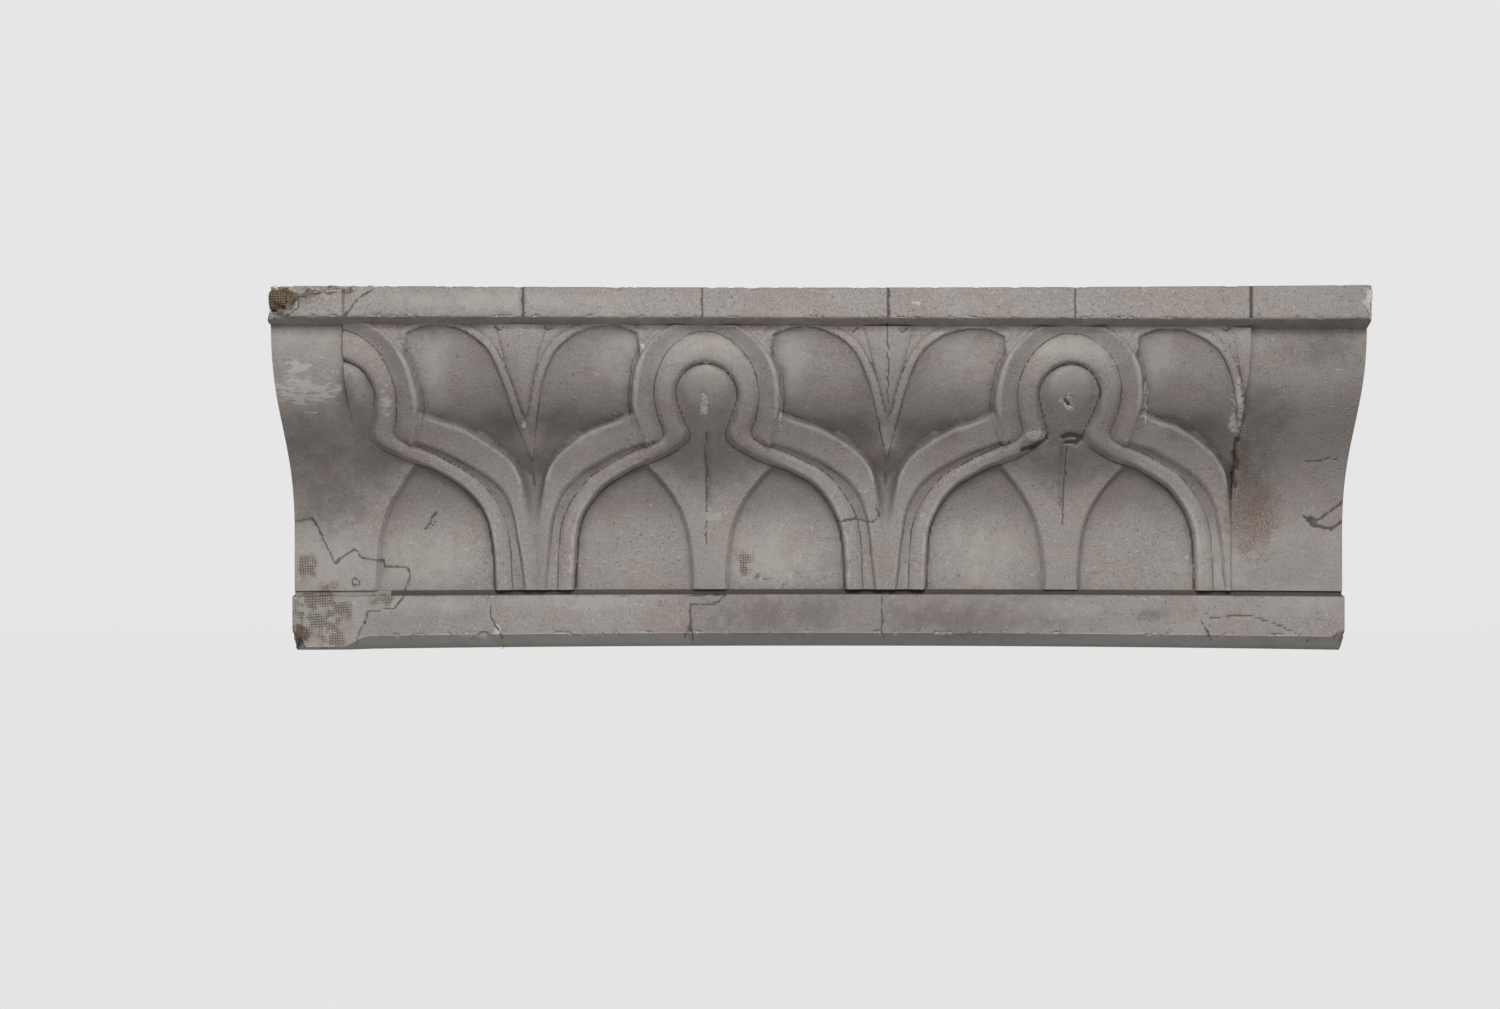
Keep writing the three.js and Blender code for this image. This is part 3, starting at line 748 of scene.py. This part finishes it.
    # Small nibbles along the arrises of the two fillets
    px, py = seenPx(points)
    seesFront = frontRows & (inset < 0.02)
    filletFoot = counts["top"] + counts["topFillet"]
    arrisRows = [counts["top"], filletFoot, ledgeEdge, underEdge]
    for k, arrisRow in enumerate(arrisRows):
        near = np.abs(row - arrisRow) <= 1
        nibble = smoothStep(0.12, 0.5, roughAt(x / 8, row * 0.2, 70 + k)) * near
        points[:, 1] += nibble * np.where(row == arrisRow, 2.4, 1.0)
        points[:, 2] += nibble * np.where(row == arrisRow, 1.7, 0.6) * (1 if k in (1, 3) else -1)
        lay("bare", nibble)

    for n, (kind, places) in enumerate(marks.items()):
        softness = 0.2 if kind in ("bare", "brown", "weave") else 0.65
        for k, mark in enumerate(places):
            shown = blotch(px, py, mark, markSeed * (n + 1) + k, softness) * seesFront
            lay(kind, shown)
            if kind == "bare":
                points[:, 1] += shown * 0.5

    # The skim coat and the flake stand a little proud of what they have come off
    wobbleX, wobbleY = px + 2 * roughAt(px / 6, py / 6, 21), py + 2 * roughAt(px / 6, py / 6, 22)
    skim = inside(skimEdge, wobbleX, wobbleY) & seesFront
    points[:, 1] += np.where(skim & (row > firstField), 1.3, 0)
    lay("pale", skim * 0.55)
    layers["weave"] *= np.where((py > 500) & (px < 450), skim, 1)
    flake = (px > 690) & (px < 1300) & (row > lastField) & seesFront & ~inside(flakeEdge, wobbleX, wobbleY)
    points[:, 1] += np.where(flake & (px < 1050), 0.9, 0)
    lay("grimeAndShade", flake * 0.45 * smoothStep(1120, 1000, px + 0.6 * (py - 600)))

    # Lines: how far each reaches in px, how dark it is, and how deep in mm
    lineSets = [(1.9, 0.85, 0, (skimEdge[1:-1], flakeEdge[:7])), (1.8, 0.9, 0.5, cracks)]
    lineSets += [(2.5, 0.9, 0.5, openCracks), (3.0, 1.0, 2.8, crevices)]
    for reach, darkness, deep, lines in lineSets:
        for line in lines:
            dark = np.clip(reach - nearLine(wobbleX, wobbleY, line), 0, 1) * seesFront
            lay("crackAndShadeLine", dark * darkness)
            points[:, 1] += dark * deep
    for line in scratches:
        lay("bare", np.clip(1.5 - nearLine(px, py, line), 0, 1) * seesFront * 0.8)
    for outline in patches:
        lay("pale", inside(outline, px, py) * seesFront * 1.3)
        lay("crackAndShadeLine", np.clip(1.5 - nearLine(px, py, outline + outline[:1]), 0, 1) * seesFront * 0.5)
    onFillet = (row >= counts["top"]) & (row <= filletFoot)
    for jointX, strength in joints:
        dark = np.clip(2.3 - np.abs(px + 0.8 * roughAt(py / 4, px * 0, 19) - jointX), 0, 1) * onFillet
        lay("crackAndShadeLine", dark * strength)
    # Painted shade along the grooves, wall feet and creases
    lay("crackAndShadeLine", seamShade * (1.05 + 0.4 * roughAt(px / 23, py / 23, 17)))
    nail = np.hypot(px - holes["nail"][0], py - holes["nail"][1])
    lay("crackAndShadeLine", (np.abs(nail - holes["nailRadius"]) < 1.4) * seesFront * 0.9)
    pit = np.hypot(px - holes["pit"][0], py - holes["pit"][1])
    lay("crackAndShadeLine", np.clip(holes["pitRadius"] - pit, 0, 1) * seesFront * 0.7)

    # Carving wears along its crests. Painted shade darkens its hollows, the soffit rows under the top fillet,
    # and the overhung middle of the cyma, most where that sits below the carving around it
    layers["wear"] = np.clip(crest / 3.4, 0, 1)
    layers["hollowShade"] = np.clip(-crest / 3.2, 0, 1)
    overhung = smoothStep(210, 150, v) * smoothStep(40, 95, v) * inField
    layers["shade"] = overhung * seesFront * np.clip(0.36 + sunk / 4, 0, 1)
    lay("hollowShade", ((row > filletFoot) & (row < firstField + 3) & seesFront) * 0.7)
    # Painted shadow where the carving was cut off against the plain ends
    cutLeft = (np.abs(x - carvedLeft) < 1) * (0.4 + 0.4 * smoothStep(168, 184, v))
    lay("crackAndShadeLine", ((np.abs(x - carvedRight) < 1) * 0.66 + cutLeft) * inField)
    # Painted shadow in the recess line above the bottom fillet
    lay("crackAndShadeLine", (row > lastField) & (row <= lastField + 3) & seesFront & ~(skim & (px < 390)))
    # Painted light: the underside rows of the bottom fillet drawn paler
    lay("pale", ((row >= underEdge) & (row < len(rows) - 1)) * seesFront * 1.9)
    low, high = np.array([leftEnd, front, -top]), np.array([rightEnd, 0, top])
    points = np.clip(points, low, high)

    mesh.vertices.foreach_set("co", (points * mm).ravel())
    for name, values in layers.items():
        layer = mesh.attributes.new(name, "FLOAT", "POINT")
        layer.data.foreach_set("value", values.astype(np.float32))
    mesh.update()
    return mesh


backFace = {
    "spacing": 28.0,
    "roughness": 1.4,
    "bumpSize": 60.0,
    "colour": (0.46, 0.435, 0.40, 1),
    "light": (0.53, 0.505, 0.47, 1),
    "brown": (0.24, 0.19, 0.14, 1),
}


# The unseen back: one flat face, cut into a coarse net and left a little uneven
def closeBack(mesh):
    bm = bmesh.new()
    bm.from_mesh(mesh)
    bmesh.ops.remove_doubles(bm, verts=bm.verts, dist=2e-5)
    rim = [e for e in bm.edges if e.is_boundary]
    bmesh.ops.holes_fill(bm, edges=rim, sides=0)
    backs = [f for f in bm.faces if len(f.verts) > 100]
    print("back faces", len(backs), "rim edges", len(rim))
    for axis, reach in ((Vector((1, 0, 0)), rightEnd), (Vector((0, 0, 1)), top)):
        cuts = int(2 * reach / backFace["spacing"])
        for k in range(1, cuts):
            place = axis * (-reach + 2 * reach * k / cuts) * mm
            geom = backs + list({e for f in backs for e in f.edges})
            geom += list({v for f in backs for v in f.verts})
            cut = bmesh.ops.bisect_plane(bm, geom=geom, dist=1e-6, plane_co=place, plane_no=axis)
            backs = [g for g in cut["geom"] if isinstance(g, bmesh.types.BMFace)]
    backSet = set(backs)
    for face in backs:
        face.material_index = 1
    for vert in {v for f in backs for v in f.verts if backSet.issuperset(v.link_faces)}:
        place = np.array([vert.co.x, vert.co.z]) / mm / backFace["bumpSize"]
        rough = float(roughAt(place[:1], place[1:], 90)[0])
        vert.co.y = -backFace["roughness"] * abs(rough) * mm
    fronts = [f for f in bm.faces if f not in backSet]
    bmesh.ops.triangulate(bm, faces=fronts, quad_method="SHORT_EDGE")
    bmesh.ops.recalc_face_normals(bm, faces=bm.faces)
    for face in bm.faces:
        face.smooth = True
    bm.to_mesh(mesh)
    bm.free()
    mesh.set_sharp_from_angle(angle=math.radians(52))
    mesh.update()


def addNode(tree, kind, links=None, **settings):
    node = tree.nodes.new(kind)
    for name, value in settings.items():
        setattr(node, name, value)
    for socket, value in (links or {}).items():
        if isinstance(value, bpy.types.NodeSocket):
            tree.links.new(value, node.inputs[socket])
        else:
            node.inputs[socket].default_value = value
    return node


def newMaterial(name):
    material = bpy.data.materials.new(name)
    material.use_nodes = True
    tree = material.node_tree
    return material, tree, tree.nodes["Principled BSDF"]


def noiseNode(tree, coords, scale, detail=3.0, stretch=None, roughness=0.55):
    if stretch:
        coords = addNode(tree, "ShaderNodeMapping", {"Vector": coords, "Scale": stretch}).outputs["Vector"]
    links = {"Vector": coords, "Scale": scale, "Detail": detail, "Roughness": roughness}
    return addNode(tree, "ShaderNodeTexNoise", links).outputs["Fac"]


def ramp(tree, value, low, high, fromValue=0.0, toValue=1.0):
    links = {"Value": value, "From Min": low, "From Max": high, "To Min": fromValue, "To Max": toValue}
    return addNode(tree, "ShaderNodeMapRange", links, interpolation_type="SMOOTHSTEP").outputs["Result"]


def maths(tree, operation, a, b):
    return addNode(tree, "ShaderNodeMath", {0: a, 1: b}, operation=operation).outputs[0]


def mixed(tree, factor, a, b, blend="MIX"):
    node = addNode(tree, "ShaderNodeMix", {0: factor, 6: a, 7: b}, data_type="RGBA", blend_type=blend)
    return node.outputs[2]


def attribute(tree, name):
    return addNode(tree, "ShaderNodeAttribute", attribute_name=name).outputs["Fac"]


def addBump(tree, shader, height, strength, distance):
    links = {"Height": height, "Strength": strength, "Distance": distance}
    bump = addNode(tree, "ShaderNodeBump", links)
    tree.links.new(bump.outputs["Normal"], shader.inputs["Normal"])


# The makers that every finish uses, on its own node tree and coordinates
def nodeMakers(tree, coords):
    times, plus, minus = (partial(maths, tree, kind) for kind in ("MULTIPLY", "ADD", "SUBTRACT"))
    return times, plus, minus, partial(noiseNode, tree, coords), partial(ramp, tree)


# Threads at the pitch of casting burlap, as raised lines both ways
def weaveNode(tree, coords, pitch):
    bent = addNode(tree, "ShaderNodeMapping", {"Vector": coords, "Rotation": (0.0, 0.06, 0.0)})
    links = {"Vector": bent.outputs["Vector"], "Scale": 2 * math.pi / (pitch * mm) / 20}
    links |= {"Distortion": 1.4, "Detail": 1.0, "Detail Scale": 2.0}
    rows = []
    for direction in ("X", "Z"):
        band = addNode(tree, "ShaderNodeTexWave", links, wave_type="BANDS", bands_direction=direction)
        rows.append(band.outputs["Fac"])
    return maths(tree, "MINIMUM", rows[0], rows[1])


paint = {
    "colour": (0.292, 0.268, 0.250, 1),
    "pink": (0.315, 0.264, 0.248, 1),
    "light": (0.340, 0.318, 0.298, 1),
    "dark": (0.205, 0.188, 0.172, 1),
    # Dark colour for grime, and for painted shade in the hollows, under the top fillet and on the overhung
    # cyma
    "grimeAndShade": (0.105, 0.093, 0.083, 1),
    # Pale colour for patches and skim, also painting light on the underside and on the head and band tops
    "pale": (0.410, 0.390, 0.360, 1),
    "plaster": (0.52, 0.495, 0.465, 1),
    "brown": (0.120, 0.076, 0.040, 1),
    # Near-black for cracks, and for painted shade lines in grooves, wall feet, the recess and the cut ends
    "crackAndShadeLine": (0.050, 0.042, 0.037, 1),
    "threadPitch": 2.4,
}


def paintedPlaster():
    material, tree, shader = newMaterial("paintedPlaster")
    coords = addNode(tree, "ShaderNodeTexCoord").outputs["Object"]
    times, plus, minus, noise, spread = nodeMakers(tree, coords)
    layer = partial(attribute, tree)
    blots = spread(noise(55, 6, roughness=0.65), 0.38, 0.66)
    brush = noise(1, 4, stretch=(60, 500, 520))
    speckle = noise(900, 2)
    freckles = noise(330, 2, roughness=0.6)
    flecks = noise(1, 7, stretch=(62, 240, 70), roughness=0.72)
    rubbed = plus(layer("wear"), noise(130, 5, roughness=0.7))
    bare = spread(plus(layer("bare"), noise(210, 5, roughness=0.7)), 1.02, 1.6, 0.0, 0.9)
    pitted = times(layer("bare"), spread(freckles, 0.52, 0.62))
    scuff = plus(flecks, times(layer("scuff"), 0.18))
    holes = spread(weaveNode(tree, coords, paint["threadPitch"]), 0.42, 0.15)
    gaps = times(times(holes, layer("weave")), spread(noise(95, 3), 0.38, 0.52))
    stained = plus(layer("brown"), noise(190, 5, roughness=0.7))
    washed = spread(plus(layer("stain"), noise(70, 5)), 0.7, 1.5)

    # From the paint up: how much of each coat covers those before it
    coats = [
        (spread(noise(11, 5), 0.32, 0.68), "light"),
        (spread(noise(23, 4), 0.46, 0.62), "pink"),
        (times(blots, 0.22), "dark"),
        (spread(brush, 0.45, 0.75, 0.0, 0.3), "pale"),
        (spread(speckle, 0.46, 0.72, 0.0, 0.7), "dark"),
        (spread(speckle, 0.52, 0.3, 0.0, 0.5), "pale"),
        (spread(freckles, 0.62, 0.72, 0.0, 0.6), "grimeAndShade"),
        (spread(freckles, 0.36, 0.28, 0.0, 0.45), "plaster"),
        # Pale patches and skim, and painted light on the underside and on the tops of the heads and bands
        (times(layer("pale"), spread(blots, 0.0, 1.0, 0.6, 0.35)), "pale"),
        (times(layer("grimeAndShade"), spread(blots, 0.0, 1.0, 0.55, 0.3)), "grimeAndShade"),
        # Painted shade in the hollows, under the top fillet and on the overhung middle of the cyma
        (times(layer("hollowShade"), spread(blots, 0.0, 1.0, 0.25, 0.5)), "grimeAndShade"),
        (times(layer("shade"), 0.42), "grimeAndShade"),
        (spread(rubbed, 1.16, 1.45, 0.0, 0.4), "plaster"),
        (bare, "plaster"),
        (times(pitted, 0.6), "grimeAndShade"),
        (spread(scuff, 0.66, 0.69, 0.0, 0.7), "plaster"),
        (times(gaps, 0.75), "brown"),
        (spread(stained, 1.0, 1.6, 0.0, 0.8), "brown"),
        (times(washed, spread(speckle, 0.35, 0.6, 0.1, 0.62)), "brown"),
        # Cracks, and painted shade lines along grooves, wall feet, the recess and the cut ends
        (spread(layer("crackAndShadeLine"), 0.3, 1.0, 0.0, 0.82), "crackAndShadeLine"),
    ]
    colour = paint["colour"]
    for share, coat in coats:
        colour = mixed(tree, share, colour, paint[coat])
    tree.links.new(colour, shader.inputs["Base Color"])
    tree.links.new(spread(speckle, 0.3, 0.7, 0.72, 0.92), shader.inputs["Roughness"])
    shader.inputs["Specular IOR Level"].default_value = 0.25

    pits = addNode(tree, "ShaderNodeTexVoronoi", {"Vector": coords, "Scale": 210.0}).outputs["Distance"]
    height = plus(times(noise(420, 4, roughness=0.65), 0.5), times(spread(pits, 0.0, 0.22), 0.35))
    height = plus(height, times(freckles, 0.3))
    height = minus(minus(height, times(bare, 0.5)), times(gaps, 1.2))
    addBump(tree, shader, height, 0.7, 0.0012)
    return material


def rawPlaster():
    material, tree, shader = newMaterial("rawPlasterBack")
    coords = addNode(tree, "ShaderNodeTexCoord").outputs["Object"]
    times, _, minus, noise, spread = nodeMakers(tree, coords)
    colour = mixed(tree, spread(noise(9, 5), 0.3, 0.7), backFace["colour"], backFace["light"])
    holes = spread(weaveNode(tree, coords, paint["threadPitch"]), 0.5, 0.1)
    gaps = times(holes, spread(noise(14, 4), 0.45, 0.62))
    colour = mixed(tree, times(gaps, 0.45), colour, backFace["brown"])
    tree.links.new(colour, shader.inputs["Base Color"])
    shader.inputs["Roughness"].default_value = 0.9
    trowel = noise(1, 5, stretch=(30, 200, 120))
    addBump(tree, shader, minus(times(trowel, 1.5), gaps), 0.6, 0.0012)
    return material


burlap = {
    "thread": (0.300, 0.215, 0.125, 1),
    "shade": (0.075, 0.048, 0.026, 1),
    "plaster": (0.40, 0.36, 0.30, 1),
    "pitch": 2.3,
    "folds": 3,
    "foldDepth": 2.4,
    "creaseDepth": 2.2,
    "lumps": 1.6,
}


def burlapCloth():
    material, tree, shader = newMaterial("castingBurlap")
    coords = addNode(tree, "ShaderNodeTexCoord").outputs["Object"]
    times, plus, _, noise, spread = nodeMakers(tree, coords)
    weave = weaveNode(tree, coords, burlap["pitch"])
    colour = mixed(tree, spread(weave, 0.08, 0.5), burlap["shade"], burlap["thread"])
    colour = mixed(tree, spread(noise(260, 4), 0.56, 0.68, 0.0, 0.7), colour, burlap["plaster"])
    tree.links.new(colour, shader.inputs["Base Color"])
    shader.inputs["Roughness"].default_value = 0.95
    addBump(tree, shader, plus(weave, times(noise(2200, 3), 0.4)), 0.9, 0.0011)
    return material


def showPiece(name, mesh, *materials):
    for material in materials:
        mesh.materials.append(material)
    piece = bpy.data.objects.new(name, mesh)
    bpy.context.collection.objects.link(piece)
    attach(piece, "root")
    return piece


castMeshData = makeCast()
closeBack(castMeshData)
plasterMaterial = paintedPlaster()
cast = showPiece("plasterCast", castMeshData, plasterMaterial, rawPlaster())
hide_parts("plaster_moulding")
print("cast made", len(castMeshData.polygons), "faces")


# The knot of burlap in the broken corner: a short roll, folded round and lumpy
def makeBundle():
    low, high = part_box("burlap_bundle")
    middle = [(a + b) / 2 / mm for a, b in zip(low, high)]
    half = [(b - a) / 2 / mm for a, b in zip(low, high)]
    bm = bmesh.new()
    bmesh.ops.create_uvsphere(bm, u_segments=96, v_segments=64, radius=1)
    for vert in bm.verts:
        turn = math.atan2(vert.co.y, vert.co.z)
        end = vert.co.x
        swell = (1 - abs(end) ** 6) ** 0.3 if abs(end) < 1 else 0
        ring = math.hypot(vert.co.y, vert.co.z) or 1
        fold = math.sin(burlap["folds"] * turn + 2.6 * end + 0.6) * burlap["foldDepth"]
        lump = float(roughAt(np.array([end * 2.2 + turn]), np.array([turn * 1.7]), 31)[0]) * burlap["lumps"]
        radius = half[1] * 0.84 * swell + (fold * 0.45 + lump) * swell
        crease = max(0, 1 - abs(((turn + 1.1 * end + 3.5) % 2.1) - 1.05) / 0.16)
        radius -= crease * burlap["creaseDepth"] * swell
        radius = min(radius, half[1] * 0.985)
        vert.co = Vector((
            middle[0] + end * half[0] * 0.98,
            middle[1] + vert.co.y / ring * radius,
            middle[2] + vert.co.z / ring * radius,
        )) * mm
    bmesh.ops.remove_doubles(bm, verts=bm.verts, dist=1e-6)
    bmesh.ops.recalc_face_normals(bm, faces=bm.faces)
    for face in bm.faces:
        face.smooth = True
    mesh = bpy.data.meshes.new("burlapKnot")
    bm.to_mesh(mesh)
    bm.free()
    return mesh


clothMaterial = burlapCloth()
knot = showPiece("burlapKnot", makeBundle(), clothMaterial)
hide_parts("burlap_bundle")
print("burlap knot made")

# Loose threads where burlap is torn: start, bend and tip in mm
threads = {
    "radius": 0.32,
    "lines": [
        [(-492, -171, 164), (-494, -172.5, 168), (-489, -172, 169.6)],
        [(-484, -170, 160), (-480, -173, 157), (-478, -173.5, 151)],
        [(-490, -172, 152), (-495, -173.4, 149), (-496, -173, 143)],
        [(-410, -170.5, 166), (-407, -171, 169), (-403, -170, 169.8)],
        [(-309, -28, -160), (-303, -27, -164), (-297, -26, -166)],
        [(-304, -27, -160), (-299, -27, -165), (-302, -25, -168)],
        [(-485, -28, -158), (-489, -28, -163), (-486, -26, -168)],
    ],
}


def makeThreads():
    curve = bpy.data.curves.new("looseThreads", "CURVE")
    curve.dimensions = "3D"
    curve.bevel_depth = threads["radius"] * mm
    curve.bevel_resolution = 2
    curve.use_fill_caps = True
    for line in threads["lines"]:
        spline = curve.splines.new("POLY")
        t = np.linspace(0, 1, 14)
        points = lineAt(line, t)
        spline.points.add(len(points) - 1)
        for point, place, share in zip(spline.points, points, t):
            point.co = (*(place * mm), 1)
            point.radius = 1.15 - 0.75 * float(share)
    source = bpy.data.objects.new("threadSource", curve)
    bpy.context.collection.objects.link(source)
    bpy.context.view_layer.update()
    mesh = bpy.data.meshes.new_from_object(source)
    bpy.data.objects.remove(source)
    mesh.name = "looseThreads"
    return mesh


strands = showPiece("looseThreads", makeThreads(), clothMaterial)
print("threads made")

# Pale floor well below, soft key from the upper right, and an even pale surround
studio = {
    "surround": (0.800, 0.792, 0.797, 1),
    "surroundLight": 0.22,
    "floor": (0.785, 0.780, 0.783, 1),
    "floorZ": -0.62,
    "floorHalf": 9.0,
    "floorLight": 0.35,
    "key": {"at": (0.2, -3.0, 1.34), "size": 1.1, "power": 77},
    "fill": {"at": (-1.4, -2.6, 0.5), "size": 1.6, "power": 4},
    "bounce": {"at": (-0.1, -0.9, -0.6), "size": 0.9, "power": 2.5},
    "back": {"at": (-0.8, 2.6, 1.4), "size": 1.4, "power": 70},
}


def makeStudio():
    world = bpy.data.worlds.new("paleSurround")
    bpy.context.scene.world = world
    world.use_nodes = True
    tree = world.node_tree
    seen = addNode(tree, "ShaderNodeLightPath").outputs["Is Camera Ray"]
    strength = maths(tree, "MAXIMUM", seen, studio["surroundLight"])
    tree.links.new(strength, tree.nodes["Background"].inputs["Strength"])
    tree.nodes["Background"].inputs["Color"].default_value = studio["surround"]
    bm = bmesh.new()
    bmesh.ops.create_grid(bm, x_segments=8, y_segments=8, size=studio["floorHalf"])
    bmesh.ops.translate(bm, verts=bm.verts, vec=(0, 0, studio["floorZ"]))
    mesh = bpy.data.meshes.new("floor")
    bm.to_mesh(mesh)
    bm.free()
    floor = bpy.data.objects.new("floor", mesh)
    bpy.context.collection.objects.link(floor)
    material, tree, shader = newMaterial("paleFloor")
    light = studio["floorLight"]
    shader.inputs["Base Color"].default_value = (light, light, light, 1)
    shader.inputs["Roughness"].default_value = 0.9
    glow = addNode(tree, "ShaderNodeEmission", {"Color": studio["floor"]})
    seen = addNode(tree, "ShaderNodeLightPath").outputs["Is Camera Ray"]
    both = addNode(tree, "ShaderNodeMixShader", {0: seen, 1: shader.outputs[0], 2: glow.outputs[0]})
    tree.links.new(both.outputs[0], tree.nodes["Material Output"].inputs["Surface"])
    mesh.materials.append(material)
    for name in ("key", "fill", "bounce", "back"):
        light = bpy.data.lights.new(name, "AREA")
        light.energy = studio[name]["power"]
        light.size = studio[name]["size"]
        lamp = bpy.data.objects.new(name, light)
        bpy.context.collection.objects.link(lamp)
        lamp.location = studio[name]["at"]
        lamp.rotation_euler = (-lamp.location).to_track_quat("-Z", "Y").to_euler()


def makeCamera():
    data = bpy.data.cameras.new("camera")
    data.lens = camera["lens"]
    data.shift_x, data.shift_y = camera["shift"]
    shooter = bpy.data.objects.new("camera", data)
    bpy.context.collection.objects.link(shooter)
    shooter.location = Vector(camera["at"]) * mm
    shooter.rotation_euler = (math.pi / 2, 0, 0)
    bpy.context.scene.camera = shooter


makeStudio()
makeCamera()
bpy.context.scene.view_settings.view_transform = "Standard"
print("studio set")
